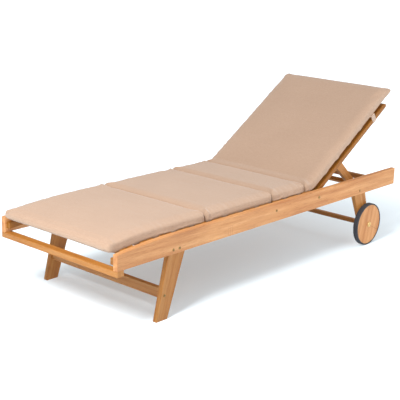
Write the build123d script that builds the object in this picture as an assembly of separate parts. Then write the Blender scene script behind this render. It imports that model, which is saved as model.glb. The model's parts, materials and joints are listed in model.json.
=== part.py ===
from build123d import *
from math import atan, cos, degrees, radians, sin
import os

# Reclining sun lounger with a slatted bed, a folding back, a notched stay and two wheels.
# Millimetres. +Y runs from the foot end to the head end, +X to the right, +Z up.
# Everything is built with Y measured from the foot end of the rails, and save() moves it so
# that the origin is on the ground under the middle of the lounger.

# Side rails and bed
LENGTH = 2000            # side rail, end to end
WIDTH = 708              # over the two side rails
BOARD = 24               # thickness of the rails and cross rails
RAIL_LOW = 272           # underside of the rails above the ground
RAIL_TOP = 356           # top edge of the rails
DIP = 17                 # how far the top edge falls at the foot end
DIP_LENGTH = 300         # how far back the fall starts
EASE = 2                 # rounding on board edges
BAR_DEEP = 37            # foot crossbar, along Y
BAR_TALL = 24.5
LEDGER = 22              # width of the strip that carries the slats
LEDGER_TALL = 26
LEDGER_START = 8
SLAT_DROP = 3            # slat tops lie this far below the rail tops
SLAT = 20                # slat thickness
SLAT_EASE = 2            # end gap of a seat slat
SEAT_SLATS = 12
SEAT_SLAT_WIDE = 70
BED_START = 48
BED_END = 1292
MID_RAIL_Y = 1019
MID_RAIL_TALL = 28
REAR_RAIL_Y = 1902
REAR_RAIL_TOP = 310.4
HOUSING = 6              # how far the cross rails are let into the side rails

# Legs: corners of each leg's side view, front edge first
LEG = 22                 # thickness
FRONT_FOOT = (223, 286.5)
FRONT_SHOULDER = (284, 382.5)
REAR_FOOT = (1725.5, 1796)
REAR_FOOT_Z = 72
REAR_FOOT_R = 28
REAR_SHOULDER = (1631, 1730)
TONGUE = 10              # thickness of the leg's tongue, let into the rail's inner face
TONGUE_TALL = 36
TONGUE_MARGIN = 10
STRETCHER_Y = 266
STRETCHER_Z = 115
STRETCHER_TALL = 44
STRETCHER_BOLT = (267, 106)
BEAM_DEEP = 24           # bar between the rear legs, on the wheel axis
BEAM_TALL = 20

# Wheels
WHEEL_Y = 1741
WHEEL_R = 107.7
WHEEL_IN = 356           # inner face of the tyre from the middle
WHEEL_WIDE = 25
DISC_R = 101
DISC_INSET = 1           # disc faces lie inside the tyre's faces
AXLE_R = 5
BUSH_R = 10
HUB_R = 13.5
HUB_PROUD = 4

# Backrest, drawn lying flat and then raised about its pivot
PIVOT_Y = 1320
PIVOT_Z = 323
BACK_ANGLE = 32.5
STILE_OUT = 325          # outer face of the stile from the middle
STILE_WIDE = 34
STILE = 20
STILE_HEEL = 18          # from the pivot to the lower end
STILE_REACH = 696        # from the pivot to the upper end
BACK_SLATS = 6
BACK_SLAT_WIDE = 74
BACK_SLAT_PITCH = 110
BACK_SLAT_HALF = 304
BACK_SLAT_START = 42     # from the pivot

# Stay that props the back
STAY_REACH = 267         # from the back pivot to the stay pivot, along the stile
STAY_OUT = 289
STAY_THICK = 20
STAY_ANGLE = -40.54      # direction of the stay legs at rest, from level
STAY_EDGE = 8.5          # pivot to the upper edge of the leg
STAY_WIDE = 41
STAY_LONG = 201.4        # pivot to the crossbar, along the leg
STAY_TAIL = 12
STAY_BAR = 20            # square section of the crossbar
STAY_BAR_DROP = 20.5     # crossbar below the line through the pivot
STAY_BAR_HALF = 327
STAY_RATIO = -2.24       # stay's turn for each degree the back rises
RACK = 22
RACK_LOW = 274
RACK_CAP = 311           # highest the rack may be, under the stiles
RACK_CLEAR = 1           # tooth tips below the crossbar's path at rest
RACK_FALL = 0.145        # slope of the line of tooth tips
RACK_START = 1560
RACK_END = 1850
NOTCH = 8                # depth
NOTCH_ANGLES = (10, 5, 0, -6, -12, -20)

# Cushion
CUSHION_HALF = 322
CUSHION_GAP = 0.3        # clear of the slats
CUSHION = 45             # thickness
OVERHANG = 20            # in front of the rails
SEAMS = (545, 1003, 1253)
SEAM_GAP = 2
FOLD_END = 1287
BACK_CUSHION = (60, 755)  # lower and upper ends from the pivot
SOFT = 9                 # rounding on cushion edges
STRAP_Y = 574            # strap's middle from the pivot
STRAP_WIDE = 30
STRAP = 1.6
STRAP_EASE = 0.4

# Fasteners
BOLT_R = 3
HEAD_R = 6
HEAD = 2
SOCKET_R = 2.5
HOLE_EASE = 0.1          # radial clearance of a fixed bolt
RUNNING = 0.05           # radial clearance of a turning pin
PIVOT_R = 4
SCREW_R = 2
SCREW_HEAD_R = 4
SCREW_HEAD = 3
SCREW_LONG = 32
PLUG_R = 5
PLUG_LONG = 49

OUT = WIDTH / 2
IN = OUT - BOARD
SLAT_TOP = RAIL_TOP - SLAT_DROP
SLAT_LOW = SLAT_TOP - SLAT
MIDDLE = (LENGTH - OVERHANG) / 2
LEG_OUT = IN + LEG
CROSS_RAILS = ((MID_RAIL_Y, SLAT_LOW - LEDGER_TALL - MID_RAIL_TALL, SLAT_LOW - LEDGER_TALL - 0.2),
               (REAR_RAIL_Y, REAR_RAIL_TOP - BOARD, REAR_RAIL_TOP))
BAR_SCREWS = ((OUT - BOARD / 2, 12, RAIL_LOW - BAR_TALL), (OUT - BOARD / 2, 26, RAIL_LOW - BAR_TALL))
RACK_SCREWS = ((1590, 288), (1830, 279.5))
WHEEL_OUT = WHEEL_IN + WHEEL_WIDE
BACK_SLAT_LOW = PIVOT_Z + STILE / 2
BACK_SLAT_TOP = BACK_SLAT_LOW + SLAT
LEG_BOLTS = ((312, 291), (348, 291), (1674, 292))
LEDGER_BOLT = (989, 322)
PLUG_YZ = (1019, 298)


def save(name, shape):
    """Write one sub-part, moved so that the origin is under the middle of the lounger."""
    export_step(Pos(0, -MIDDLE, 0) * shape, f"parts/{name}.step")


def save_pair(stem, right):
    """Write a right-hand piece and its mirror image."""
    save(stem.format("right"), right)
    save(stem.format("left"), mirror(right, about=Plane.YZ))


def save_group(name, pieces):
    """Write several separate solids as one sub-part."""
    save(name, Compound(children=pieces))


def both_sides(pieces):
    """Return right-hand pieces with their mirror images."""
    return pieces + [mirror(piece, about=Plane.YZ) for piece in pieces]


def board(xs, ys, zs, ease=EASE):
    """A straight piece of timber between pairs of coordinates, with eased edges."""
    centre = Pos(sum(xs) / 2, sum(ys) / 2, sum(zs) / 2)
    block = Box(xs[1] - xs[0], ys[1] - ys[0], zs[1] - zs[0])
    if ease:
        block = fillet(block.edges(), ease)
    return centre * block


def plate(outline, xs):
    """Extrude a side view, drawn as (Y, Z) edges, between two X positions."""
    face = Plane.YZ.offset(xs[0]) * make_face(outline)
    return extrude(face, amount=xs[1] - xs[0])


def polygon_plate(points, xs, ease=EASE):
    """A flat piece whose side view is a polygon."""
    piece = plate(Polyline(*points, close=True), xs)
    return fillet(piece.edges(), ease) if ease else piece


def rod(y, z, radius, xs):
    """A round bar along X."""
    return Pos(sum(xs) / 2, y, z) * Rot(0, 90, 0) * Cylinder(radius, xs[1] - xs[0])


def dipped_strip(top, low, ys, xs, low_dips):
    """A strip whose top edge falls in an arc towards the foot end, as the rails do."""
    upper = TangentArc((DIP_LENGTH, top), (0, top - DIP), tangent=(-1, 0))
    foot_low = low - DIP if low_dips else low
    outline = [Line((LENGTH, top), (DIP_LENGTH, top)), upper]
    outline.append(Line((0, top - DIP), (0, foot_low)))
    if low_dips:
        outline.append(TangentArc((DIP_LENGTH, low), (0, low - DIP), tangent=(-1, 0)))
        outline.append(Line((DIP_LENGTH, low), (LENGTH, low)))
    else:
        outline.append(Line((0, low), (LENGTH, low)))
    outline.append(Line((LENGTH, low), (LENGTH, top)))
    strip = plate(outline, xs)
    if ys != (0, LENGTH):
        strip = strip & board(xs, ys, (0, RAIL_TOP + DIP), ease=0)
    return strip


def dip_at(y):
    """How far the bed has fallen at a distance from the foot end."""
    radius = (DIP_LENGTH ** 2 + DIP ** 2) / (2 * DIP)
    run = max(0, DIP_LENGTH - y)
    return radius - (radius ** 2 - run ** 2) ** 0.5


def bolt(y, z, x_tip, x_face):
    """A button-head bolt along X with a socket in its head."""
    shank = rod(y, z, BOLT_R, (x_tip, x_face))
    head = rod(y, z, HEAD_R, (x_face, x_face + HEAD))
    head = fillet(head.edges().group_by(Axis.X)[-1], HEAD * 0.6)
    socket = rod(y, z, SOCKET_R, (x_face + HEAD * 0.3, x_face + HEAD + 1))
    return shank + head - socket


def slat_screw(x, top, long=SCREW_LONG):
    """A flush screw at a place on a flat slat top, given as Y = 0."""
    head = Pos(x, 0, top - SCREW_HEAD / 2) * Cylinder(SCREW_HEAD_R, SCREW_HEAD)
    shank = Pos(x, 0, top - long / 2) * Cylinder(SCREW_R, long)
    return head + shank


def slat_screw_hole(x, top):
    """The hole for a slat screw, a little wider all round."""
    high = top - SCREW_HEAD / 2 + 0.5
    head = Pos(x, 0, high) * Cylinder(SCREW_HEAD_R + HOLE_EASE, SCREW_HEAD + 1.2)
    shank = Pos(x, 0, top - SCREW_LONG / 2) * Cylinder(SCREW_R + HOLE_EASE, SCREW_LONG + 1)
    return head + shank


def recline(shape):
    """Raise a piece of the back from flat to its rest angle."""
    return Pos(0, PIVOT_Y, PIVOT_Z) * Rot(BACK_ANGLE, 0, 0) * Pos(0, -PIVOT_Y, -PIVOT_Z) * shape


# ---------------------------------------------------------------- places worked out once
STAY_PIVOT = (PIVOT_Y + STAY_REACH * cos(radians(BACK_ANGLE)),
              PIVOT_Z + STAY_REACH * sin(radians(BACK_ANGLE)))


def bar_place(raised):
    """Centre of the crossbar and direction of the stay when the back is raised further."""
    back = radians(BACK_ANGLE + raised)
    turn = radians(STAY_ANGLE + raised * (1 + STAY_RATIO))
    y = PIVOT_Y + STAY_REACH * cos(back) + STAY_LONG * cos(turn) + STAY_BAR_DROP * sin(turn)
    z = PIVOT_Z + STAY_REACH * sin(back) + STAY_LONG * sin(turn) - STAY_BAR_DROP * cos(turn)
    return y, z, turn


def bar_corner(raised):
    """Lowest corner of the square crossbar."""
    y, z, turn = bar_place(raised)
    half = STAY_BAR / 2
    return y + half * (cos(turn) + sin(turn)), z + half * (sin(turn) - cos(turn))


SLAT_STEP = (BED_END - BED_START - SEAT_SLAT_WIDE) / (SEAT_SLATS - 1)
SLAT_MIDDLES = [BED_START + SEAT_SLAT_WIDE / 2 + i * SLAT_STEP for i in range(SEAT_SLATS)]
BACK_MIDDLES = [PIVOT_Y + BACK_SLAT_START + BACK_SLAT_WIDE / 2 + i * BACK_SLAT_PITCH
                for i in range(BACK_SLATS)]
SCREW_X = IN - LEDGER / 2
BACK_SCREW_X = (BACK_SLAT_HALF + STILE_OUT - STILE_WIDE) / 2
REST_CORNER = bar_corner(0)


def slat_pose(y):
    """Location that carries a slat from the level bed to its place, tangent to the ledgers."""
    slope = (dip_at(y - 1) - dip_at(y + 1)) / 2
    return Pos(0, y, SLAT_LOW - dip_at(y)) * Rot(degrees(atan(slope)), 0, 0) * Pos(0, 0, -SLAT_LOW)


# ---------------------------------------------------------------- frame
def make_rails():
    """Side rails with housings for the leg tongues and cross rails, and holes for the bolts."""
    rail = dipped_strip(RAIL_TOP, RAIL_LOW, (0, LENGTH), (IN, OUT), low_dips=False)
    rail = fillet(rail.edges().filter_by(Axis.X, reverse=True), EASE)
    for shoulder in (FRONT_SHOULDER, REAR_SHOULDER):
        ys = (shoulder[0] + TONGUE_MARGIN - HOLE_EASE, shoulder[1] - TONGUE_MARGIN + HOLE_EASE)
        zs = (RAIL_LOW - 1, RAIL_LOW + TONGUE_TALL + HOLE_EASE)
        rail -= board((IN - 1, IN + TONGUE + HOLE_EASE), ys, zs, ease=0)
    for y, low, high in CROSS_RAILS:
        ys = (y - BOARD / 2 - HOLE_EASE, y + BOARD / 2 + HOLE_EASE)
        rail -= board((IN - 1, IN + HOUSING + HOLE_EASE), ys, (low - HOLE_EASE, high + HOLE_EASE), ease=0)
    for y, z in LEG_BOLTS + (LEDGER_BOLT,):
        rail -= rod(y, z, BOLT_R + HOLE_EASE, (IN - 1, OUT + 1))
    rail -= rod(PIVOT_Y, PIVOT_Z, PIVOT_R + HOLE_EASE, (IN - 1, OUT + 1))
    rail -= rod(*PLUG_YZ, PLUG_R + HOLE_EASE, (IN - 1, OUT + 1))
    for place in BAR_SCREWS:
        rail -= Pos(*place) * hidden_screw(HOLE_EASE)
    for y, z in RACK_SCREWS:
        rail -= Pos(IN - RACK, y, z) * Rot(0, 90, 0) * hidden_screw(HOLE_EASE)
    save_pair("side_rail_{}", rail)
    save_group("rail_plugs", both_sides([rod(*PLUG_YZ, PLUG_R, (OUT - PLUG_LONG, OUT))]))


def make_crossbars():
    """Foot crossbar under the rails, and the two cross rails let into them."""
    bar = board((-OUT, OUT), (0, BAR_DEEP), (RAIL_LOW - BAR_TALL, RAIL_LOW))
    holes = [Pos(*place) * hidden_screw(HOLE_EASE) for place in BAR_SCREWS]
    for hole in both_sides(holes):
        bar -= hole
    save("foot_crossbar", bar)
    half = IN + HOUSING
    for name, (y, low, high) in zip(("mid_cross_rail", "rear_cross_rail"), CROSS_RAILS):
        rail = board((-half, half), (y - BOARD / 2, y + BOARD / 2), (low, high), ease=1)
        if name == "mid_cross_rail":
            hole = rod(*PLUG_YZ, PLUG_R + HOLE_EASE, (OUT - PLUG_LONG - 1, half + 1))
            rail = rail - hole - mirror(hole, about=Plane.YZ)
        save(name, rail)


def make_bed():
    """Ledgers inside the rails and the slats screwed down on them."""
    ys = (LEDGER_START, BED_END)
    ledger = dipped_strip(SLAT_LOW, SLAT_LOW - LEDGER_TALL, ys, (IN - LEDGER, IN), low_dips=True)
    ledger -= rod(*LEDGER_BOLT, BOLT_R + HOLE_EASE, (IN - LEDGER - 1, IN + 1))
    half = IN - SLAT_EASE
    screws = []
    for index, y in enumerate(SLAT_MIDDLES, start=1):
        slat = board((-half, half), (-SEAT_SLAT_WIDE / 2, SEAT_SLAT_WIDE / 2), (SLAT_LOW, SLAT_TOP))
        hole = slat_screw_hole(SCREW_X, SLAT_TOP)
        slat = slat - hole - mirror(hole, about=Plane.YZ)
        save(f"seat_slat_{index:02d}", slat_pose(y) * slat)
        ledger -= slat_pose(y) * hole
        screws.append(slat_pose(y) * slat_screw(SCREW_X, SLAT_TOP))
    save_pair("ledger_{}", ledger)
    save_group("seat_slat_screws", both_sides(screws))


def leg(foot, foot_z, shoulder, foot_r):
    """A leg board with a thin tongue on top, flush with its inner face."""
    corners = ((foot[0], foot_z), (foot[1], foot_z), (shoulder[1], RAIL_LOW), (shoulder[0], RAIL_LOW))
    body = polygon_plate(corners, (IN, LEG_OUT), ease=0)
    upright = body.edges().filter_by(Plane.YZ).filter_by(lambda e: abs(e.tangent_at(0.5).Z) > 0.5)
    body = fillet(upright, EASE)
    if foot_r:
        body = round_foot(body, foot, foot_z, foot_r)
    ys = (shoulder[0] + TONGUE_MARGIN, shoulder[1] - TONGUE_MARGIN)
    body += board((IN, IN + TONGUE), ys, (RAIL_LOW - 1, RAIL_LOW + TONGUE_TALL), ease=0)
    for y, z in LEG_BOLTS:
        if shoulder[0] < y < shoulder[1]:
            body -= rod(y, z, BOLT_R + HOLE_EASE, (IN - 1, OUT + 1))
    return body


def round_foot(body, foot, foot_z, foot_r):
    """Round the lower end of a leg that stands clear of the ground."""
    middle = sum(foot) / 2
    reach = (foot[1] - foot[0]) / 2 + 2
    zs = (foot_z - 1, foot_z + foot_r)
    corner = board((IN - 1, LEG_OUT + 1), (middle - 60, middle + 60), zs, ease=0)
    keep = board((IN - 2, LEG_OUT + 2), (middle - reach, middle + reach), (foot_z, foot_z + 90), ease=0)
    lower = keep.edges().filter_by(Axis.X).group_by(Axis.Z)[0]
    return body - (corner - fillet(lower, foot_r))


def make_legs():
    """Front legs with their stretcher, and rear legs with the beam that takes the axle bolts."""
    front = leg(FRONT_FOOT, 0, FRONT_SHOULDER, 0)
    front -= rod(*STRETCHER_BOLT, BOLT_R + HOLE_EASE, (IN - 1, OUT + 1))
    save_pair("front_leg_{}", front)
    rear = leg(REAR_FOOT, REAR_FOOT_Z, REAR_SHOULDER, REAR_FOOT_R)
    rear -= rod(WHEEL_Y, WHEEL_R, AXLE_R + HOLE_EASE, (IN - 1, OUT + 1))
    save_pair("rear_leg_{}", rear)
    ys = (STRETCHER_Y - LEG / 2, STRETCHER_Y + LEG / 2)
    zs = (STRETCHER_Z - STRETCHER_TALL / 2, STRETCHER_Z + STRETCHER_TALL / 2)
    stretcher = board((-IN, IN), ys, zs)
    beam = board((-IN, IN), (WHEEL_Y - BEAM_DEEP / 2, WHEEL_Y + BEAM_DEEP / 2),
                 (WHEEL_R - BEAM_TALL / 2, WHEEL_R + BEAM_TALL / 2))
    for side in (-1, 1):
        tip = sorted((side * (IN + 1), side * (IN - 41)))
        stretcher -= rod(*STRETCHER_BOLT, BOLT_R + HOLE_EASE, tip)
        beam -= rod(WHEEL_Y, WHEEL_R, AXLE_R + HOLE_EASE, tip)
    save("front_stretcher", stretcher)
    save("axle_beam", beam)


def tip_line(y):
    """Height of the rack's tooth tips, just below the path of the crossbar."""
    sloping = REST_CORNER[1] - RACK_CLEAR - RACK_FALL * (y - REST_CORNER[0])
    return min(RACK_CAP, sloping)


def make_racks():
    """Notched racks inside the rails, which catch the stay's crossbar."""
    bend = REST_CORNER[0] - (RACK_CAP - REST_CORNER[1] + RACK_CLEAR) / RACK_FALL
    corners = [(RACK_START, RACK_LOW), (RACK_END, RACK_LOW), (RACK_END, tip_line(RACK_END)),
               (bend, RACK_CAP), (RACK_START, RACK_CAP)]
    rack = polygon_plate(corners, (IN - RACK, IN), ease=1)
    side = NOTCH * 2 ** 0.5
    for raised in NOTCH_ANGLES:
        y = bar_corner(raised)[0]
        rack -= Pos(IN - RACK / 2, y, tip_line(y)) * Rot(45, 0, 0) * Box(RACK + 2, side, side)
    for y, z in RACK_SCREWS:
        rack -= Pos(IN - RACK, y, z) * Rot(0, 90, 0) * hidden_screw(HOLE_EASE)
    save_pair("notch_rack_{}", rack)


def hidden_screw(ease=0.0):
    """A countersunk screw pointing up from its head at the origin, or its hole."""
    length = SCREW_LONG + 4
    head = Pos(0, 0, (SCREW_HEAD - ease * 5) / 2) * Cylinder(SCREW_HEAD_R + ease, SCREW_HEAD + ease * 7)
    return head + Pos(0, 0, (length + ease) / 2) * Cylinder(SCREW_R + ease, length + ease)


def make_fasteners():
    """Bolts and screws of the frame, pivot bolts of the back, axle bolts and washers."""
    bolts = [bolt(y, z, IN + 1, OUT) for y, z in LEG_BOLTS]
    bolts.append(bolt(*LEDGER_BOLT, IN - LEDGER + 4, OUT))
    bolts.append(bolt(*STRETCHER_BOLT, IN - 40, LEG_OUT))
    save_group("frame_bolts", both_sides(bolts))

    screws = [Pos(*place) * hidden_screw() for place in BAR_SCREWS]
    screws += [Pos(IN - RACK, y, z) * Rot(0, 90, 0) * hidden_screw() for y, z in RACK_SCREWS]
    save_group("frame_screws", both_sides(screws))

    pivot = rod(PIVOT_Y, PIVOT_Z, PIVOT_R, (STILE_OUT - 26, OUT))
    head = rod(PIVOT_Y, PIVOT_Z, HEAD_R + 1, (OUT, OUT + HEAD))
    head = fillet(head.edges().group_by(Axis.X)[-1], 1)
    pivot = pivot + head - rod(PIVOT_Y, PIVOT_Z, SOCKET_R, (OUT + 0.5, OUT + 3))
    spacer = rod(PIVOT_Y, PIVOT_Z, PIVOT_R * 2, (STILE_OUT + 0.4, IN - 0.1))
    spacer -= rod(PIVOT_Y, PIVOT_Z, PIVOT_R + HOLE_EASE, (STILE_OUT - 1, IN + 1))
    save_group("back_pivot_bolts", both_sides([pivot, spacer]))

    shank = rod(WHEEL_Y, WHEEL_R, AXLE_R, (IN - 40, WHEEL_OUT + 0.4))
    cap = rod(WHEEL_Y, WHEEL_R, HUB_R, (WHEEL_OUT + 0.4, WHEEL_OUT + 0.4 + HUB_PROUD))
    cap = fillet(cap.edges().group_by(Axis.X)[-1], 2.5)
    slot = Pos(WHEEL_OUT + HUB_PROUD, WHEEL_Y, WHEEL_R) * Box(3, 3, 11)
    washer = rod(WHEEL_Y, WHEEL_R, HUB_R, (LEG_OUT + 0.1, WHEEL_IN - 0.4))
    washer -= rod(WHEEL_Y, WHEEL_R, AXLE_R + HOLE_EASE, (LEG_OUT - 1, WHEEL_IN + 1))
    save_group("axle_bolts", both_sides([shank + cap - slot, washer]))


# ---------------------------------------------------------------- wheels
def make_wheels():
    """A plain timber disc with a rubber tyre and a metal bush, turning on the axle bolt."""
    faces = (WHEEL_IN + DISC_INSET, WHEEL_OUT - DISC_INSET)
    disc = rod(WHEEL_Y, WHEEL_R, DISC_R, faces)
    disc = fillet(disc.edges(), 1.5) - rod(WHEEL_Y, WHEEL_R, BUSH_R, faces)
    tyre = fillet(rod(WHEEL_Y, WHEEL_R, WHEEL_R, (WHEEL_IN, WHEEL_OUT)).edges(), 2.5)
    tyre -= rod(WHEEL_Y, WHEEL_R, DISC_R, (WHEEL_IN - 1, WHEEL_OUT + 1))
    bush = rod(WHEEL_Y, WHEEL_R, BUSH_R, (WHEEL_IN, WHEEL_OUT))
    bush -= rod(WHEEL_Y, WHEEL_R, AXLE_R + RUNNING, (WHEEL_IN - 1, WHEEL_OUT + 1))
    save_pair("wheel_disc_{}", disc)
    save_pair("tyre_{}", tyre)
    save_pair("hub_bush_{}", bush)


# ---------------------------------------------------------------- backrest
def make_back():
    """Two stiles hung on the pivot bolts, with slats screwed across them."""
    low, high = PIVOT_Z - STILE / 2, PIVOT_Z + STILE / 2
    start, end = PIVOT_Y - STILE_HEEL, PIVOT_Y + STILE_REACH
    near, far = start + STILE / 2, end - STILE / 2
    outline = [Line((near, low), (far, low)),
               ThreePointArc((far, low), (end, PIVOT_Z), (far, high)),
               Line((far, high), (near, high)),
               ThreePointArc((near, high), (start, PIVOT_Z), (near, low))]
    xs = (STILE_OUT - STILE_WIDE, STILE_OUT)
    stile = plate(outline, xs)
    stile -= rod(PIVOT_Y, PIVOT_Z, PIVOT_R + RUNNING, (STILE_OUT - 27, STILE_OUT + 1))
    stile -= rod(PIVOT_Y + STAY_REACH, PIVOT_Z, PIVOT_R + HOLE_EASE, (xs[0] - 1, STILE_OUT - 8))
    screws = []
    for index, y in enumerate(BACK_MIDDLES, start=1):
        slat = board((-BACK_SLAT_HALF, BACK_SLAT_HALF), (-BACK_SLAT_WIDE / 2, BACK_SLAT_WIDE / 2),
                     (BACK_SLAT_LOW, BACK_SLAT_TOP))
        hole = slat_screw_hole(BACK_SCREW_X, BACK_SLAT_TOP)
        slat = slat - hole - mirror(hole, about=Plane.YZ)
        save(f"back_slat_{index}", recline(Pos(0, y, 0) * slat))
        stile -= Pos(0, y, 0) * hole
        screws.append(Pos(0, y, 0) * slat_screw(BACK_SCREW_X, BACK_SLAT_TOP))
    save_pair("back_stile_{}", recline(stile))
    save_group("back_slat_screws", [recline(screw) for screw in both_sides(screws)])


def make_stay():
    """The prop: two legs hung from the stiles and joined by a square crossbar."""
    leg_in = STAY_OUT - STAY_THICK
    low = STAY_EDGE - STAY_WIDE
    tip = STAY_LONG + STAY_TAIL
    corner = STAY_EDGE * 0.5 ** 0.5
    half = STAY_BAR / 2
    outline = [Line((0, STAY_EDGE), (tip, STAY_EDGE)),
               Line((tip, STAY_EDGE), (tip, low)),
               Line((tip, low), (6, low)),
               Line((6, low), (-STAY_EDGE, 0)),
               ThreePointArc((-STAY_EDGE, 0), (-corner, corner), (0, STAY_EDGE))]
    leg_board = plate(outline, (leg_in, STAY_OUT))
    far_end = leg_board.edges().filter_by(Axis.X).group_by(Axis.Y)[-1].sort_by(Axis.Z)[-1]
    leg_board = fillet(far_end, 8)
    leg_board -= rod(0, 0, PIVOT_R + RUNNING, (leg_in - 1, STAY_OUT + 1))
    rebate = (STAY_LONG - half - HOLE_EASE, tip + 1)
    leg_board -= board((leg_in - 1, STAY_OUT + 1), rebate,
                       (low - 1, half - STAY_BAR_DROP + HOLE_EASE), ease=0)
    bar = board((-STAY_BAR_HALF, STAY_BAR_HALF), (STAY_LONG - half, STAY_LONG + half),
                (-STAY_BAR_DROP - half, -STAY_BAR_DROP + half), ease=1)
    place = Pos((leg_in + STAY_OUT) / 2, STAY_LONG, -STAY_BAR_DROP - half)
    hole = place * hidden_screw(HOLE_EASE)
    leg_board -= hole
    bar = bar - hole - mirror(hole, about=Plane.YZ)
    hang = Pos(0, *STAY_PIVOT) * Rot(STAY_ANGLE, 0, 0)
    save_pair("stay_leg_{}", hang * leg_board)
    save("stay_crossbar", hang * bar)
    save_group("stay_screws", [hang * screw for screw in both_sides([place * hidden_screw()])])
    pin = rod(*STAY_PIVOT, PIVOT_R, (leg_in - 0.5, STILE_OUT - 10))
    pin += rod(*STAY_PIVOT, HEAD_R, (leg_in - 0.5 - HEAD, leg_in - 0.5))
    save_group("stay_pivot_bolts", both_sides([pin]))


# ---------------------------------------------------------------- cushion
def make_cushions():
    """Segments on the bed, a strip at the fold, one on the back, and straps round the stiles."""
    low = SLAT_TOP + CUSHION_GAP
    top = low + CUSHION
    xs = (-CUSHION_HALF, CUSHION_HALF)
    end = SEAMS[0] - SEAM_GAP / 2
    nose = dip_at(-OVERHANG)
    outline = [TangentArc((DIP_LENGTH, low), (-OVERHANG, low - nose), tangent=(-1, 0)),
               Line((-OVERHANG, low - nose), (-OVERHANG, top - nose)),
               TangentArc((DIP_LENGTH, top), (-OVERHANG, top - nose), tangent=(-1, 0)),
               Line((DIP_LENGTH, top), (end, top)),
               Line((end, top), (end, low)),
               Line((end, low), (DIP_LENGTH, low))]
    foot = plate(outline, xs)
    save("cushion_foot", fillet(foot.edges().filter_by(Axis.X), SOFT))
    stops = ((SEAMS[0], SEAMS[1]), (SEAMS[1], SEAMS[2]), (SEAMS[2], FOLD_END + SEAM_GAP / 2))
    for name, (start, stop) in zip(("cushion_middle", "cushion_seat", "cushion_fold"), stops):
        save(name, board(xs, (start + SEAM_GAP / 2, stop - SEAM_GAP / 2), (low, top), ease=SOFT))
    base = BACK_SLAT_TOP + CUSHION_GAP
    ys = [PIVOT_Y + y for y in BACK_CUSHION]
    save("cushion_back", recline(board(xs, ys, (base, base + CUSHION), ease=SOFT)))

    ease = STRAP_EASE
    hole_xs = (STILE_OUT - STILE_WIDE - ease, STILE_OUT + ease)
    hole_zs = (PIVOT_Z - STILE / 2 - ease, BACK_SLAT_TOP - STRAP)
    ys = (PIVOT_Y + STRAP_Y - STRAP_WIDE / 2, PIVOT_Y + STRAP_Y + STRAP_WIDE / 2)
    outer_xs = (hole_xs[0] - STRAP, hole_xs[1] + STRAP)
    ring = board(outer_xs, ys, (hole_zs[0] - STRAP, hole_zs[1] + STRAP), ease=0)
    ring -= board(hole_xs, (ys[0] - 1, ys[1] + 1), hole_zs, ease=0)
    save_group("cushion_straps", [recline(strap) for strap in both_sides([ring])])


os.makedirs("parts", exist_ok=True)
make_rails()
make_crossbars()
make_bed()
make_legs()
make_racks()
make_fasteners()
make_wheels()
make_back()
make_stay()
make_cushions()
print("origin", MIDDLE, "mm from the foot end; stay pivot", STAY_PIVOT)
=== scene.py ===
# %% [markdown]
# # A reclining sun lounger
#
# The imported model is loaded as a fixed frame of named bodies. Its timber, bolts and wheels already
# have their true shapes, so here they only get finishes. The cushion is soft, so it is made new.

# %% Load the frame and keep its box
import json
import math

import bpy
import numpy as np
from mathutils import Matrix, Vector, noise


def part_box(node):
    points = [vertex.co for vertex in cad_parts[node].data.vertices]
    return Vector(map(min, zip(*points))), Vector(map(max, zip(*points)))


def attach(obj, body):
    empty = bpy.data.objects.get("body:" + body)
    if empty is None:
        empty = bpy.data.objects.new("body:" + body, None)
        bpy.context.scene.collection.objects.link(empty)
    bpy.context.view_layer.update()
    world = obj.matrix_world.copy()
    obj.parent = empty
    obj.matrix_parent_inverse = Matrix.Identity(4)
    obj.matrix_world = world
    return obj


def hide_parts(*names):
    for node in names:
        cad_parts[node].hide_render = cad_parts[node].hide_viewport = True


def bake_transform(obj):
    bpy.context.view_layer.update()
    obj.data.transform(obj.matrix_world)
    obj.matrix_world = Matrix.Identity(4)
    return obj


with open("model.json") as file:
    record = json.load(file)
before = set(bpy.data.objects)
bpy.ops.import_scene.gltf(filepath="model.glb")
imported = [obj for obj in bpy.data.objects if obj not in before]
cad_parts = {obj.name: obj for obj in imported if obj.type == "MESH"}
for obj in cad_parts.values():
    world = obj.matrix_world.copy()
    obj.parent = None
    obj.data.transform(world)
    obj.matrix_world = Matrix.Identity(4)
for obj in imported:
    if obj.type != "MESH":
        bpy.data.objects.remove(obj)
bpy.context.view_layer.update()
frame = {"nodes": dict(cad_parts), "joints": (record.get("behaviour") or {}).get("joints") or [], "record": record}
nodes = frame["nodes"]

# %% [markdown]
# ## Where things are
#
# Every place comes from the frame: the middle of a hinge from the record, and the edges of a board
# or a cushion from the box of its piece. Sizes that belong to the cloth alone are named here.

# %% Read the places that the cushion depends on
MM = 0.001
hinge = Vector(next(j for j in frame["joints"] if j["name"] == "back_recline")["pos_m"])
RECLINE_AT_REST = 32.5
recline = math.radians(RECLINE_AT_REST)
up_back = Vector((0, math.cos(recline), math.sin(recline)))
rail_low, rail_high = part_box("side_rail_right")
foot_low, foot_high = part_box("cushion_foot")
middle_low, middle_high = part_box("cushion_middle")
seat_low, seat_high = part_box("cushion_seat")
bed = middle_low.z
half_width = middle_high.x
print("bed at", round(bed, 4), "half width", round(half_width, 4))


# %% [markdown]
# ## The camera
#
# A long lens stands off the foot end to the right, a little above the lounger. The camera is turned
# about the vertical, tipped down, and rolled slightly, in that order, so its matrix is a product of
# three plain rotations.

# %% Make the camera
FOCAL_LENGTH = 89.63
CAMERA_PLACE = (2.937, -3.469, 1.563)
CAMERA_TURN = 41.277
CAMERA_TIP = 15.588
CAMERA_ROLL = 1.795


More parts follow.
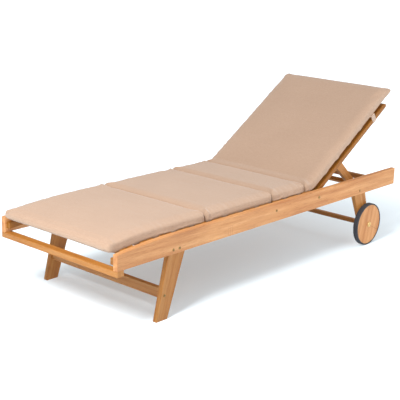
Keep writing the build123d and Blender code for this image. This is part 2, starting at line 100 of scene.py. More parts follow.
def make_camera():
    """A long lens off the right-hand corner of the foot end."""
    data = bpy.data.cameras.new("camera")
    camera = bpy.data.objects.new("camera", data)
    bpy.context.scene.collection.objects.link(camera)
    data.lens = FOCAL_LENGTH
    turn = Matrix.Rotation(math.radians(CAMERA_TURN), 4, "Z")
    tip = Matrix.Rotation(math.radians(90 - CAMERA_TIP), 4, "X")
    roll = Matrix.Rotation(math.radians(CAMERA_ROLL), 4, "Z")
    camera.matrix_world = Matrix.Translation(CAMERA_PLACE) @ turn @ tip @ roll
    data.clip_end = 60
    bpy.context.scene.camera = camera
    return camera


camera = make_camera()
print("camera at", tuple(round(c, 3) for c in camera.location))

# %% [markdown]
# ## Floor and light
#
# The lounger stands on a plain pale floor in a softly lit white room. The main light is a wide soft
# lamp high in front of the foot end: it throws the bed's shadow back under the bed, and the light
# dies away towards the head end. Two lamps without shadows lift the flat bed and the outer face of
# the near rail. The floor is a very pale blue-grey, which balances the warm light that the timber
# throws into the shadow, and it glows white some way off, as the backdrop of a studio does.

# %% Levels and places of light
WALL_LIGHT = 0.36
CEILING_LIGHT = 0.5
CEILING_TOWARDS = (0.1, 0.25, 0.96)
CEILING_SPREAD = 2.0
KEY_PLACE = (0.6, -3.1, 2.8)
KEY_AIM = (0, -0.1, 0.3)
KEY_SIZE = 1.1
KEY_POWER = 178
SIDE_PLACE = (2.6, 0.9, 0.7)
SIDE_AIM = (0.3, 0.3, 0.25)
SIDE_SIZE = 1.2
SIDE_POWER = 32
LIFT_PLACE = (0.3, 1.6, 2.4)
LIFT_SPREAD = 20
LIFT_STRENGTH = 1.0
FLOOR_SIZE = 60
FLOOR_COLOUR = (0.8, 0.89, 0.95, 1)
GLOW_FROM = 1.05
GLOW_TO = 2.3
GLOW = 0.5


# %% Make the floor and the room
def make_floor():
    """A wide pale floor that glows white some way off, as a lit backdrop does."""
    bpy.ops.mesh.primitive_plane_add(size=FLOOR_SIZE, location=(0, 0, 0))
    floor = bpy.context.object
    floor.name = "floor"
    paint = bpy.data.materials.new("floor_paint")
    paint.use_nodes = True
    shader = paint.node_tree.nodes["Principled BSDF"]
    shader.inputs["Base Color"].default_value = FLOOR_COLOUR
    shader.inputs["Roughness"].default_value = 0.9
    shader.inputs["Specular IOR Level"].default_value = 0.0
    tree = paint.node_tree
    away = tree.nodes.new("ShaderNodeVectorMath")
    away.operation = "LENGTH"
    tree.links.new(tree.nodes.new("ShaderNodeTexCoord").outputs["Object"], away.inputs[0])
    glow = tree.nodes.new("ShaderNodeMapRange")
    glow.interpolation_type = "SMOOTHSTEP"
    glow.inputs["From Min"].default_value = GLOW_FROM
    glow.inputs["From Max"].default_value = GLOW_TO
    glow.inputs["To Max"].default_value = GLOW
    tree.links.new(away.outputs["Value"], glow.inputs["Value"])
    shader.inputs["Emission Color"].default_value = (1, 1, 1, 1)
    tree.links.new(glow.outputs["Result"], shader.inputs["Emission Strength"])
    floor.data.materials.append(paint)


def make_room():
    """White light from all round, stronger from a broad patch of ceiling, and seen as white."""
    world = bpy.data.worlds.new("room")
    world.use_nodes = True
    bpy.context.scene.world = world
    tree = world.node_tree
    background = tree.nodes["Background"]
    background.inputs["Color"].default_value = (1, 1, 1, 1)
    direction = tree.nodes.new("ShaderNodeTexCoord").outputs["Generated"]
    facing = tree.nodes.new("ShaderNodeVectorMath")
    facing.operation = "DOT_PRODUCT"
    facing.inputs[1].default_value = Vector(CEILING_TOWARDS).normalized()
    tree.links.new(direction, facing.inputs[0])
    upper = tree.nodes.new("ShaderNodeMath")
    upper.operation = "MAXIMUM"
    upper.inputs[1].default_value = 0
    tree.links.new(facing.outputs["Value"], upper.inputs[0])
    patch = tree.nodes.new("ShaderNodeMath")
    patch.operation = "POWER"
    patch.inputs[1].default_value = CEILING_SPREAD
    tree.links.new(upper.outputs["Value"], patch.inputs[0])
    level = tree.nodes.new("ShaderNodeMath")
    level.operation = "MULTIPLY_ADD"
    level.inputs[1].default_value = CEILING_LIGHT
    level.inputs[2].default_value = WALL_LIGHT
    tree.links.new(patch.outputs["Value"], level.inputs[0])
    seen = tree.nodes.new("ShaderNodeMath")
    seen.operation = "MAXIMUM"
    tree.links.new(level.outputs["Value"], seen.inputs[0])
    tree.links.new(tree.nodes.new("ShaderNodeLightPath").outputs["Is Camera Ray"], seen.inputs[1])
    tree.links.new(seen.outputs["Value"], background.inputs["Strength"])


make_floor()
make_room()
bpy.context.scene.view_settings.view_transform = "Standard"


# %% Hang the lamps
def aim_lamp(name, data, place, aim):
    """Put a lamp at a place, turned towards a point."""
    lamp = bpy.data.objects.new(name, data)
    bpy.context.scene.collection.objects.link(lamp)
    lamp.location = place
    lamp.rotation_mode = "QUATERNION"
    lamp.rotation_quaternion = (Vector(aim) - Vector(place)).to_track_quat("-Z", "Y")
    lamp.visible_camera = False


def soft_lamp(name, place, aim, size, power, shadow):
    """A square soft lamp, with or without a shadow."""
    data = bpy.data.lights.new(name, "AREA")
    data.shape = "SQUARE"
    data.size = size
    data.energy = power
    data.use_shadow = shadow
    aim_lamp(name, data, place, aim)


def even_light(name, place, strength):
    """Even light from one side that throws no shadow."""
    data = bpy.data.lights.new(name, "SUN")
    data.angle = math.radians(LIFT_SPREAD)
    data.energy = strength
    data.use_shadow = False
    aim_lamp(name, data, place, (0, 0, 0))


soft_lamp("key", KEY_PLACE, KEY_AIM, KEY_SIZE, KEY_POWER, True)
soft_lamp("side_lift", SIDE_PLACE, SIDE_AIM, SIDE_SIZE, SIDE_POWER, False)
even_light("bed_lift", LIFT_PLACE, LIFT_STRENGTH)
print("light set")

# %% [markdown]
# ## Building finishes from nodes
#
# A finish is a small graph of nodes. Three helpers keep each graph short: one starts a material,
# one adds a node with its settings, and one joins an output to an input.


# %% Helpers for node graphs
def start_finish(name):
    """A new material, its node tree and its main shader."""
    finish = bpy.data.materials.new(name)
    finish.use_nodes = True
    tree = finish.node_tree
    return finish, tree, tree.nodes["Principled BSDF"]


def add(tree, kind, settings=None, **inputs):
    """A node of a kind, with settings on the node and values on its inputs."""
    made = tree.nodes.new(kind)
    for key, value in (settings or {}).items():
        setattr(made, key, value)
    for key, value in inputs.items():
        made.inputs[key.replace("_", " ")].default_value = value
    return made


def join(tree, source, target):
    """Link an output socket to an input socket."""
    tree.links.new(source, target)


def ramp(tree, source, stops):
    """A colour ramp with (place, colour) stops, fed by a value."""
    made = tree.nodes.new("ShaderNodeValToRGB")
    elements = made.color_ramp.elements
    while len(elements) < len(stops):
        elements.new(0.5)
    for element, (place, colour) in zip(elements, stops):
        element.position = place
        element.color = (*colour, 1)
    join(tree, source, made.inputs["Fac"])
    return made.outputs["Color"]


def mix(tree, blend, amount, first, second):
    """Blend two colour sockets."""
    made = add(tree, "ShaderNodeMix", {"data_type": "RGBA", "blend_type": blend})
    made.inputs["Factor"].default_value = amount
    join(tree, first, made.inputs["A"])
    join(tree, second, made.inputs["B"])
    return made.outputs["Result"]


def linear(red, green, blue):
    """A display colour, given 0 to 255, as the linear light that a shader takes."""
    out = []
    for value in (red, green, blue):
        share = value / 255
        out.append(share / 12.92 if share < 0.04045 else ((share + 0.055) / 1.055) ** 2.4)
    return tuple(out)


# %% [markdown]
# ## Oiled hardwood
#
# The frame is sawn from a honey-coloured hardwood and oiled. Each board has long streaks that
# follow its length, wavy growth lines, and fine dark pores. All three come from patterns stretched
# along the board, so the pattern is first turned to run that way. Every board is shifted and made
# a little paler or darker, as boards cut from different logs are. Boards that stand in shade, such
# as the legs, bars, stile and inner boards, are also painted darker and more saturated: that is
# painted shade.


# %% Mix the timber finish
WOOD_DARK = linear(168, 109, 65)
WOOD_MID = linear(190, 136, 88)
WOOD_PALE = linear(206, 157, 109)


def board_seed(name):
    """A fixed number from 0 to 1 for each board's name."""
    return sum((place + 3) * ord(letter) for place, letter in enumerate(name)) % 97 / 97


def along_board(tree, turn, seed):
    """Object coordinates turned so that the board's length is X, and shifted by its seed."""
    place = tree.nodes.new("ShaderNodeTexCoord")
    turned = add(tree, "ShaderNodeMapping", {"vector_type": "POINT"})
    turned.inputs["Rotation"].default_value = [math.radians(a) for a in turn]
    turned.inputs["Location"].default_value = (seed * 7, seed * 3.1, seed * 5.3)
    join(tree, place.outputs["Object"], turned.inputs["Vector"])
    return turned.outputs["Vector"]


def stretched(tree, source, scale):
    """A vector scaled differently along and across the board."""
    made = add(tree, "ShaderNodeMapping")
    made.inputs["Scale"].default_value = scale
    join(tree, source, made.inputs["Vector"])
    return made.outputs["Vector"]


def make_timber(name, turn, shade_tone=1.0, joint=None):
    """Timber whose grain runs along the turned X axis."""
    finish, tree, shader = start_finish("timber_" + name)
    seed = board_seed(name)
    along = along_board(tree, turn, seed)

    streaks = add(tree, "ShaderNodeTexNoise", Scale=1.0, Detail=5.0, Roughness=0.6)
    join(tree, stretched(tree, along, (2.2, 42, 42)), streaks.inputs["Vector"])
    colour = ramp(tree, streaks.outputs["Fac"],
                  [(0.25, WOOD_DARK), (0.5, WOOD_MID), (0.75, WOOD_PALE)])

    rings = add(tree, "ShaderNodeTexWave", {"wave_type": "BANDS", "bands_direction": "DIAGONAL"},
                Scale=1.0, Distortion=9.0, Detail=3.0, Detail_Scale=1.4)
    join(tree, stretched(tree, along, (0.9, 11, 11)), rings.inputs["Vector"])
    ring_shade = ramp(tree, rings.outputs["Fac"], [(0.0, (0.78, 0.68, 0.6)), (0.45, (1, 1, 1))])
    colour = mix(tree, "MULTIPLY", 0.3, colour, ring_shade)

    pores = add(tree, "ShaderNodeTexNoise", Scale=1.0, Detail=2.0)
    join(tree, stretched(tree, along, (28, 620, 620)), pores.inputs["Vector"])
    pore_shade = ramp(tree, pores.outputs["Fac"], [(0.36, (0.6, 0.5, 0.42)), (0.46, (1, 1, 1))])
    colour = mix(tree, "MULTIPLY", 0.45, colour, pore_shade)

    cloud = add(tree, "ShaderNodeTexNoise", Scale=3.0, Detail=1.0)
    join(tree, along, cloud.inputs["Vector"])
    cloud_shade = ramp(tree, cloud.outputs["Fac"], [(0.3, (0.9, 0.87, 0.84)), (0.7, (1.04, 1.03, 1.0))])
    colour = mix(tree, "MULTIPLY", 0.7, colour, cloud_shade)
    if joint:
        colour = joint_lines(tree, colour, joint)

    # Painted shade: boards that stand in shade are made darker and more saturated here; the seed adds each board's
    # own small change.
    toned_and_shaded = add(tree, "ShaderNodeHueSaturation", Value=shade_tone * (0.95 + 0.09 * seed),
                Saturation=1.03 + 0.35 * (1 - shade_tone))
    join(tree, colour, toned_and_shaded.inputs["Color"])
    join(tree, toned_and_shaded.outputs["Color"], shader.inputs["Base Color"])

    rough = add(tree, "ShaderNodeMapRange", To_Min=0.62, To_Max=0.44)
    join(tree, streaks.outputs["Fac"], rough.inputs["Value"])
    join(tree, rough.outputs["Result"], shader.inputs["Roughness"])
    bump = add(tree, "ShaderNodeBump", Strength=0.35, Distance=0.0004)
    join(tree, pores.outputs["Fac"], bump.inputs["Height"])
    join(tree, bump.outputs["Normal"], shader.inputs["Normal"])
    shader.inputs["Specular IOR Level"].default_value = 0.4
    return finish


# %% [markdown]
# ## Joints that show in the timber
#
# Short lengths of timber are finger-jointed into long rails, and the joint shows as a few fine dark
# lines across the grain. The same kind of line marks where two boards of a wheel are glued.


# %% Draw fine joint lines into a finish
def joint_lines(tree, colour, joint):
    """Darken thin planes, each given as (normal, distance), kept to one side of a limit."""
    place = tree.nodes.new("ShaderNodeTexCoord").outputs["Object"]
    planes, limit_normal, limit_at, width = joint
    side = add(tree, "ShaderNodeVectorMath", {"operation": "DOT_PRODUCT"})
    side.inputs[1].default_value = limit_normal
    join(tree, place, side.inputs[0])
    kept = add(tree, "ShaderNodeMath", {"operation": "LESS_THAN"})
    kept.inputs[1].default_value = limit_at
    join(tree, side.outputs["Value"], kept.inputs[0])
    for normal, distance in planes:
        dot = add(tree, "ShaderNodeVectorMath", {"operation": "DOT_PRODUCT"})
        dot.inputs[1].default_value = normal
        join(tree, place, dot.inputs[0])
        near = add(tree, "ShaderNodeMath", {"operation": "COMPARE"})
        near.inputs[1].default_value = distance
        near.inputs[2].default_value = width
        join(tree, dot.outputs["Value"], near.inputs[0])
        both = add(tree, "ShaderNodeMath", {"operation": "MULTIPLY"})
        join(tree, near.outputs["Value"], both.inputs[0])
        join(tree, kept.outputs["Value"], both.inputs[1])
        line = add(tree, "ShaderNodeMix", {"data_type": "RGBA", "blend_type": "MULTIPLY"})
        line.inputs["B"].default_value = (0.42, 0.27, 0.16, 1)
        join(tree, both.outputs["Value"], line.inputs["Factor"])
        join(tree, colour, line.inputs["A"])
        colour = line.outputs["Result"]
    return colour


# %% [markdown]
# ## Rubber, plated steel and cloth
#
# The tyre is matt black rubber with a faint speckle. Bolts are brassy plated steel, duller where
# hands and weather reach. The cushion cloth is a plain weave: two sets of fine ribs cross, and slubs
# in the yarn make it mottled. Webbing is the same yarn in coarser ribs.


# %% Mix rubber, metal and cloth
WAVE_LENGTH = 0.314


def make_rubber():
    """Matt black rubber."""
    finish, tree, shader = start_finish("rubber")
    place = tree.nodes.new("ShaderNodeTexCoord").outputs["Object"]
    speckle = add(tree, "ShaderNodeTexNoise", Scale=260.0, Detail=4.0)
    join(tree, place, speckle.inputs["Vector"])
    tint = ramp(tree, speckle.outputs["Fac"], [(0.3, linear(26, 27, 33)), (0.8, linear(58, 58, 64))])
    join(tree, tint, shader.inputs["Base Color"])
    bump = add(tree, "ShaderNodeBump", Strength=0.3, Distance=0.0003)
    join(tree, speckle.outputs["Fac"], bump.inputs["Height"])
    join(tree, bump.outputs["Normal"], shader.inputs["Normal"])
    shader.inputs["Roughness"].default_value = 0.72
    return finish


def make_metal(name, dark, pale):
    """Brassy plated steel, mottled between two colours."""
    finish, tree, shader = start_finish(name)
    place = tree.nodes.new("ShaderNodeTexCoord").outputs["Object"]
    dull = add(tree, "ShaderNodeTexNoise", Scale=190.0, Detail=5.0)
    join(tree, place, dull.inputs["Vector"])
    tint = ramp(tree, dull.outputs["Fac"], [(0.3, dark), (0.7, pale)])
    join(tree, tint, shader.inputs["Base Color"])
    rough = add(tree, "ShaderNodeMapRange", To_Min=0.5, To_Max=0.28)
    join(tree, dull.outputs["Fac"], rough.inputs["Value"])
    join(tree, rough.outputs["Result"], shader.inputs["Roughness"])
    shader.inputs["Metallic"].default_value = 0.9
    return finish


def make_cloth(name, dark, pale, pitch, depth, weave_shade_mix):
    """Plain-woven cloth with ribs a pitch apart."""
    finish, tree, shader = start_finish(name)
    place = tree.nodes.new("ShaderNodeTexCoord").outputs["Object"]
    slub = add(tree, "ShaderNodeTexNoise", Scale=1.0, Detail=4.0, Roughness=0.65)
    join(tree, stretched(tree, place, (90, 420, 420)), slub.inputs["Vector"])
    cloud = add(tree, "ShaderNodeTexNoise", Scale=5.0, Detail=2.0)
    join(tree, place, cloud.inputs["Vector"])
    colour = ramp(tree, slub.outputs["Fac"], [(0.3, dark), (0.7, pale)])
    cloud_shade = ramp(tree, cloud.outputs["Fac"], [(0.3, (0.95, 0.945, 0.94)), (0.7, (1, 1, 1))])
    colour = mix(tree, "MULTIPLY", 0.8, colour, cloud_shade)
    ribs = []
    for direction in ("X", "Y"):
        rib = add(tree, "ShaderNodeTexWave", {"wave_type": "BANDS", "bands_direction": direction},
                  Scale=WAVE_LENGTH / pitch, Distortion=0.6, Detail=1.0)
        join(tree, place, rib.inputs["Vector"])
        ribs.append(rib.outputs["Fac"])
    weave = add(tree, "ShaderNodeMath", {"operation": "MULTIPLY"})
    join(tree, ribs[0], weave.inputs[0])
    join(tree, ribs[1], weave.inputs[1])
    # Painted shade: the cloth is made darker where the ribs dip, in the gaps between threads.
    shade = ramp(tree, weave.outputs["Value"], [(0.0, (0.9, 0.89, 0.88)), (0.5, (1, 1, 1))])
    colour = mix(tree, "MULTIPLY", weave_shade_mix, colour, shade)
    join(tree, colour, shader.inputs["Base Color"])
    bump = add(tree, "ShaderNodeBump", Strength=0.5, Distance=depth)
    join(tree, weave.outputs["Value"], bump.inputs["Height"])
    join(tree, bump.outputs["Normal"], shader.inputs["Normal"])
    shader.inputs["Roughness"].default_value = 0.92
    shader.inputs["Specular IOR Level"].default_value = 0.15
    shader.inputs["Sheen Weight"].default_value = 0.25
    shader.inputs["Sheen Roughness"].default_value = 0.5
    return finish


rubber = make_rubber()
aged_metal = make_metal("aged_steel", linear(96, 74, 46), linear(168, 138, 88))
bright_metal = make_metal("bright_brass", linear(196, 160, 96), linear(236, 206, 146))
cloth = make_cloth("cushion_cloth", linear(163, 135, 114), linear(174, 147, 126), 1.4 * MM, 0.0003, 0.7)
webbing = make_cloth("webbing", linear(170, 144, 126), linear(184, 160, 142), 2.2 * MM, 0.0005, 1.0)
print("finishes mixed")


# %% [markdown]
# ## Dressing the frame
#
# Each piece from the frame gets the finish of its kind. Boards differ in the way they point: rails,
# ledgers and racks run front to back, slats and crossbars side to side, and the legs, stiles and
# stay lie at angles in between, so their grain is turned to match.


# %% Choose each board's painted shade, grain and joint lines
FRONT_LEG_LEAN = 74
REAR_LEG_LEAN = 112
STAY_LEAN = -40.5
DISC_LEAN = 78
FINGERS_FROM = -0.335
FINGER_STEP = 13 * MM
FINGERS_BELOW = 0.318
GLUE_LINE_SLOPE = -28
LINE_HALF_WIDTH = 0.5 * MM


def shade_tone_of(name):
    """How much painted shade a board gets: legs and bars are painted a little darker than the rails, the stile and
    inner boards most, for the shade they stand in.
    """
    shade_tones = {"back_stile": 0.5, "stay": 0.74, "front_leg": 0.68, "rear_leg": 0.72,
             "foot_crossbar": 0.68, "front_stretcher": 0.74, "axle_beam": 0.66, "ledger": 0.5,
             "notch_rack": 0.6, "mid_cross": 0.6, "rear_cross": 0.66, "seat_slat": 0.6,
             "back_slat": 0.66}
    for start, shade_tone in shade_tones.items():
        if name.startswith(start):
            return shade_tone
    return 1.0


def grain_turn(name):
    """Turn, in degrees, that brings a board's length onto X."""
    leans = {"front_leg": FRONT_LEG_LEAN, "rear_leg": REAR_LEG_LEAN, "stay_leg": STAY_LEAN,
             "back_stile": math.degrees(recline), "wheel_disc": DISC_LEAN,
             "side_rail": 0, "ledger": 0, "notch_rack": 0}
    for start, lean in leans.items():
        if name.startswith(start):
            return (-lean, 0, -90)
    return (0, 0, 0)


def joint_for(name):
    """Fine lines on the rails and on the wheels, or none."""
    if name.startswith("side_rail"):
        across = [((0, 1, 0), FINGERS_FROM + step * FINGER_STEP) for step in range(3)]
        return across, (0, 0, 1), FINGERS_BELOW, LINE_HALF_WIDTH
    if name.startswith("wheel_disc"):
        low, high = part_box(name)
        centre = (low + high) / 2
        slope = math.radians(GLUE_LINE_SLOPE)
        normal = (0, -math.sin(slope), math.cos(slope))
        return [(normal, Vector(normal).dot(centre))], (0, -1, 0), -centre.y, LINE_HALF_WIDTH
    return None


# %% Give every piece of the frame its finish
def dress(name, finish):
    """Put one finish on a piece from the frame."""
    piece = nodes[name]
    piece.data.materials.clear()
    piece.data.materials.append(finish)


slot_of = {part["node"]: part["material_slot"] for part in frame["record"]["subparts"]}
for name in sorted(nodes):
    kind = slot_of[name]
    if kind == "timber":
        dress(name, make_timber(name, grain_turn(name), shade_tone_of(name), joint_for(name)))
    elif kind == "tyre":
        dress(name, rubber)
    elif kind == "bolt":
        dress(name, bright_metal if name == "axle_bolts" else aged_metal)
print("dressed", sum(kind != "cushion" for kind in slot_of.values()), "pieces")

# %% [markdown]
# ## The cushion's flat pads
#
# The cushion is one long case sewn across into pads. Each pad starts as a block of its own length,
# lying flat, a little smaller than it will be once filled. It is cut into a fine even mesh, then
# blown up as cloth with its underside held, so that it crowns on top and its sides pull in.

# %% Sizes of the pads
START_SMALLER = 3 * MM
PAD_TALL = 42 * MM
VOXEL = 6 * MM
PUFF = 4.0
PUFF_FRAMES = 20
PUFF_LIMIT = 7 * MM
CORNER = 32 * MM
SHOULDER = 18 * MM
UNDERCUT = 8 * MM
HELD_BELOW = 3 * MM


# %% Make a flat block with rounded corners
def deselect_all():
    """Leave nothing selected and nothing in edit mode."""
    if bpy.context.object and bpy.context.object.mode != "OBJECT":
        bpy.ops.object.mode_set(mode="OBJECT")
    bpy.ops.object.select_all(action="DESELECT")


def select_edges(piece, chosen):
    """Select the edges for which chosen(first point, second point) is true."""
    bpy.ops.object.mode_set(mode="OBJECT")
    mesh = piece.data
    for group in (mesh.vertices, mesh.edges, mesh.polygons):
        group.foreach_set("select", [False] * len(group))
    for edge in mesh.edges:
        first, second = (mesh.vertices[v].co for v in edge.vertices)
        edge.select = chosen(first, second)
    bpy.ops.object.mode_set(mode="EDIT")
    bpy.ops.mesh.select_mode(type="EDGE")


def make_block(name, low_y, high_y, corner_low, corner_high):
    """A pad-shaped block between two places along the lounger."""
    deselect_all()
    half = half_width - START_SMALLER
    middle = ((low_y + high_y) / 2, bed + PAD_TALL / 2)
    bpy.ops.mesh.primitive_cube_add(size=1, location=(0, *middle))
    block = bpy.context.object
    block.name = name
    block.scale = (2 * half, high_y - low_y, PAD_TALL)
    bpy.ops.object.transform_apply(location=True, rotation=True, scale=True)
    for at, corner in ((low_y, corner_low), (high_y, corner_high)):
        def upright(a, b, at=at):
            return abs(a.y - at) < MM and abs(b.y - at) < MM and abs(a.z - b.z) > MM
        select_edges(block, upright)
        bpy.ops.mesh.bevel(offset=corner, segments=5, affect="EDGES")
    select_edges(block, lambda a, b: min(a.z, b.z) > bed + PAD_TALL - MM)
    bpy.ops.mesh.bevel(offset=SHOULDER, segments=4, affect="EDGES")
    select_edges(block, lambda a, b: max(a.z, b.z) < bed + MM)
    bpy.ops.mesh.bevel(offset=UNDERCUT, segments=3, affect="EDGES")
    bpy.ops.object.mode_set(mode="OBJECT")
    return block


# %% [markdown]
# ## Filling a pad
#
# Cloth with air pressure inside swells like a filled case. Gravity is off, and points on the
# underside are pinned, because they rest on the slats. A limit on how far a point may move keeps
# the pad to its real thickness: it reaches the limit on top and stays short of it near the edges.


# %% Blow a pad up
def points_of(piece):
    """The piece's points as an array."""
    flat = np.empty(len(piece.data.vertices) * 3)
    piece.data.vertices.foreach_get("co", flat)
    return flat.reshape(-1, 3)


def move_points(piece, places):
    """Write the piece's points back."""
    piece.data.vertices.foreach_set("co", np.asarray(places, float).ravel())
    piece.data.update()


def remesh(piece):
    """Cut the piece into an even mesh of small squares."""
    change = piece.modifiers.new("Remesh", "REMESH")
    change.mode = "VOXEL"
    change.voxel_size = VOXEL
    bpy.context.view_layer.objects.active = piece
    bpy.ops.object.modifier_apply(modifier=change.name)


def puff_up(piece):
    """Swell a pad with its underside held."""
    before = points_of(piece)
    held = piece.vertex_groups.new(name="held")
    for index in np.flatnonzero(before[:, 2] < bed + HELD_BELOW):
        held.add([int(index)], 1.0, "REPLACE")
    air = piece.modifiers.new("Cloth", "CLOTH")
    air.settings.quality = 4
    air.settings.vertex_group_mass = "held"
    air.settings.use_pressure = True
    air.settings.uniform_pressure_force = PUFF
    air.settings.effector_weights.gravity = 0
    air.point_cache.frame_end = PUFF_FRAMES
    for step in range(1, PUFF_FRAMES + 1):
        bpy.context.scene.frame_set(step)
    bpy.context.view_layer.objects.active = piece
    bpy.ops.object.modifier_apply(modifier=air.name)
    piece.vertex_groups.clear()
    bpy.context.scene.frame_set(1)
    moved = points_of(piece) - before
    far = np.linalg.norm(moved, axis=1, keepdims=True)
    soft = PUFF_LIMIT * np.tanh(far / PUFF_LIMIT)
    move_points(piece, before + moved * soft / np.maximum(far, 1e-9))
    return float(far.max())


def fit_between(piece, ends):
    """Stretch a swollen pad to its exact width and length."""
    places = points_of(piece)
    for column, (low, high) in ((0, (-half_width, half_width)), (1, ends)):
        found_low, found_high = places[:, column].min(), places[:, column].max()
        share = (places[:, column] - found_low) / (found_high - found_low)
        places[:, column] = low + share * (high - low)
    move_points(piece, places)


# %% [markdown]
# ## Puckers and sagging
#
# Stitching gathers the cloth, so the sides of a pad are puckered, most of all close to a seam, and
# the top is never quite smooth. Both are moves of the mesh's points by smooth noise, so they show
# in outline as well as in shade.


# %% Pucker the sides and soften the top
EAR = 20 * MM
EAR_REACH = 32 * MM
EAR_DROP = 15 * MM
SAG = 5 * MM
SAG_HEIGHT = 14 * MM
SIDE_REACH = 55 * MM
SEAM_REACH = 38 * MM
DIP_REACH = 9 * MM
DIP_DOWN = 4.5 * MM
DIP_IN = 9 * MM


def pucker(piece, seams):
    """Gather the sides near the edges, and more near each seam."""
    places = points_of(piece)
    across, along, tall = places[:, 0], places[:, 1], places[:, 2]
    side = np.clip((np.abs(across) - (half_width - SIDE_REACH)) / SIDE_REACH, 0, 1)
    near_seam = np.zeros(len(places))
    for seam in seams:
        near_seam = np.maximum(near_seam, np.exp(-np.abs(along - seam) / SEAM_REACH))
    ripple = np.array([noise.noise(Vector((x * 6, y * 55, z * 18))) for x, y, z in places])
    broad = np.array([noise.noise(Vector((x * 5, y * 5 + 9, 2.7))) for x, y, _ in places])
    strength = side * (0.9 + 2.2 * near_seam) + 0.25
    rest = np.clip((tall - bed) / (10 * MM), 0, 1)
    places[:, 2] += rest * (ripple * strength * 2.0 + broad * 1.6) * MM
    places[:, 0] += np.sign(across) * rest * side * ripple * (1.4 + 2.2 * near_seam) * MM
    for seam in seams:
        dip = np.exp(-np.abs(along - seam) / DIP_REACH) * side ** 2
        places[:, 2] -= rest * dip * DIP_DOWN
        places[:, 0] -= np.sign(across) * dip * DIP_IN
    places[:, 2] = np.maximum(places[:, 2], bed - 0.2 * MM)
    move_points(piece, places)


def sag_between(piece, spans):
    """Let the underside sag between the slats, each given as (start, end) along the bed."""
    places = points_of(piece)
    along = places[:, 1]
    low = np.clip(1 - (places[:, 2] - bed) / SAG_HEIGHT, 0, 1)
    for (_, gap_start), (gap_end, _) in zip(spans, spans[1:]):
        share = np.clip((along - gap_start) / (gap_end - gap_start), 0, 1)
        places[:, 2] -= low * SAG * np.sin(np.pi * share) ** 0.8
    move_points(piece, places)


def draw_out_corner(piece, corner_x, corner_y):
    """Pull the cloth out to a soft point at one corner, as a seam's end does."""
    places = points_of(piece)
    away = np.hypot(places[:, 0] - corner_x, places[:, 1] - corner_y)
    height = np.clip((places[:, 2] - bed) / PAD_TALL, 0, 1)
    near = np.exp(-(away / EAR_REACH) ** 2) * np.sin(np.pi * height)
    places[:, 0] += near * EAR * math.copysign(1, corner_x) * 0.75
    places[:, 1] += near * EAR * math.copysign(1, corner_y)
    places[:, 2] -= np.exp(-(away / EAR_REACH) ** 2) * height * EAR_DROP
    move_points(piece, places)


def smooth_finish(piece, finish):
    """One subdivision, smooth shading, a finish and a slot."""
    change = piece.modifiers.new("Subdivision", "SUBSURF")
    change.levels = 1
    change.render_levels = 1
    deselect_all()
    piece.select_set(True)
    bpy.context.view_layer.objects.active = piece
    bpy.ops.object.modifier_apply(modifier=change.name)
    bpy.ops.object.shade_smooth()
    piece.data.materials.clear()
    piece.data.materials.append(finish)


# %% [markdown]
# ## Laying the pads on the bed
#
# The pads were filled lying flat. The foot pad then follows the rails, whose top falls in an arc of
# a circle, and the last pad turns up against the back round a bend whose underside has a radius of
# its own. Both are exact moves of each point, so no cloth is stretched out of shape.

# %% The fall at the foot end
NOSE_TOP = 0.339
DIP = rail_high.z - NOSE_TOP
DIP_LENGTH = 300 * MM
dip_radius = (DIP_LENGTH ** 2 + DIP ** 2) / (2 * DIP)


def lay_on_dip(piece):
    """Lower a pad's points by the rails' arc."""
    places = points_of(piece)
    run = np.clip(rail_low.y + DIP_LENGTH - places[:, 1], 0, None)
    places[:, 2] -= dip_radius - np.sqrt(dip_radius ** 2 - run ** 2)
    move_points(piece, places)


# %% The bend against the back
BEND_RADIUS = 75 * MM
before_hinge = (bed - hinge.z) * math.tan(recline / 2)
bend_reach = BEND_RADIUS * math.tan(recline / 2)
bend_from = hinge.y - before_hinge - bend_reach
bend_to = bend_from + BEND_RADIUS * recline


def lay_on_back(piece):
    """Bend a pad's points from the bed up along the back."""
    places = points_of(piece)
    along = places[:, 1].copy()
    tall = places[:, 2] - bed
    turned = np.clip((along - bend_from) / BEND_RADIUS, 0, recline)
    beyond = np.clip(along - bend_to, 0, None)
    level = np.minimum(along, bend_from)
    places[:, 1] = level + (BEND_RADIUS - tall) * np.sin(turned) + beyond * math.cos(recline)
    lift = BEND_RADIUS - (BEND_RADIUS - tall) * np.cos(turned)
    places[:, 2] = bed + lift + beyond * math.sin(recline)
    move_points(piece, places)


# %% Work out how long the back pad is
ROUNDED = 9 * MM


def reach_along_back():
    """How far up the back its cushion reaches from the hinge, from the box of the leaning block."""
    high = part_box("cushion_back")[1] - hinge
    sine, cosine = math.sin(recline), math.cos(recline)
    thick = middle_high.z - middle_low.z
    lost = ROUNDED * (sine + cosine - 1) * (sine + cosine)
    return high.z * sine + high.y * cosine - thick * sine * cosine + lost


up_from_bend = reach_along_back() - before_hinge - bend_reach
flat_end = bend_to + up_from_bend
print("back pad reaches", round(reach_along_back(), 4), "past the hinge")


# %% Find the slats under the pads
def slat_boxes(start):
    """The boxes of the slats whose names begin this way; their screws have no number."""
    return [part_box(name) for name in sorted(nodes) if name.startswith(start) and name[-1].isdigit()]


def seat_spans():
    """Where each seat slat starts and ends."""
    return sorted((low.y, high.y) for low, high in slat_boxes("seat_slat_"))


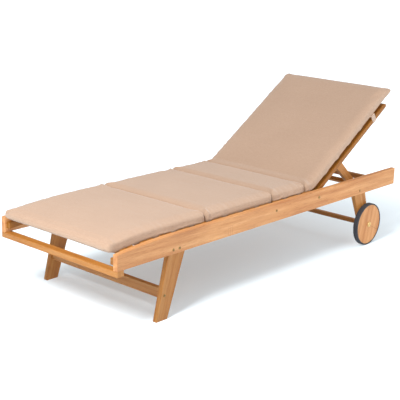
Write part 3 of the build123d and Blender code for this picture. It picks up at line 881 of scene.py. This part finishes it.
def back_spans():
    """Where each back slat starts and ends, as if the back lay flat beyond the bend."""
    spans = []
    level_low, level_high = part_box("seat_slat_12")
    thick = level_high.z - level_low.z
    for low, high in slat_boxes("back_slat_"):
        middle = ((low + high) / 2 - hinge).dot(up_back)
        half = ((high.y - low.y) - thick * math.sin(recline)) / math.cos(recline) / 2
        centre = flat_end - reach_along_back() + middle
        spans.append((centre - half, centre + half))
    return sorted(spans)


print("slats", len(seat_spans()), "and", len(back_spans()))


# %% Make the four pads
def make_pad(name, ends, corners, seams):
    """A filled pad lying flat."""
    pad = make_block(name, *ends, *corners)
    remesh(pad)
    print(name, "would swell", round(puff_up(pad) / MM), "mm unchecked")
    fit_between(pad, ends)
    pucker(pad, seams)
    sag_between(pad, back_spans() if name == "pad_back" else seat_spans())
    return pad


SMALL_CORNER = 8 * MM
OVERLAP = 0.6 * MM
back_from = seat_high.y + 2 * MM
pads = {
    "pad_foot": ((foot_low.y, foot_high.y + OVERLAP), (CORNER, SMALL_CORNER), (foot_high.y,)),
    "pad_middle": ((middle_low.y - OVERLAP, middle_high.y + OVERLAP),
                   (SMALL_CORNER, SMALL_CORNER), (middle_low.y, middle_high.y)),
    "pad_seat": ((seat_low.y - OVERLAP, seat_high.y + OVERLAP),
                 (SMALL_CORNER, SMALL_CORNER), (seat_low.y, seat_high.y)),
    "pad_back": ((back_from - OVERLAP, flat_end), (SMALL_CORNER, CORNER), (back_from,)),
}
for name, (ends, corners, seams) in pads.items():
    pad = make_pad(name, ends, corners, seams)
    if name == "pad_foot":
        lay_on_dip(pad)
    if name == "pad_back":
        draw_out_corner(pad, half_width, flat_end)
        lay_on_back(pad)
    smooth_finish(pad, cloth)
    if name == "pad_back":
        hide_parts("cushion_back", "cushion_fold")
        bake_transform(pad)
    else:
        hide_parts(name.replace("pad", "cushion"))
        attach(pad, "root")
    print(name, len(pad.data.polygons), "faces")

# %% [markdown]
# ## The straps
#
# A loop of webbing passes round each stile and holds the pad to the back. It could be made new, as
# a thin band swept round the stile, but its frame piece already is that band, so it only gets the
# webbing's finish.

# %% Dress the straps
dress("cushion_straps", webbing)
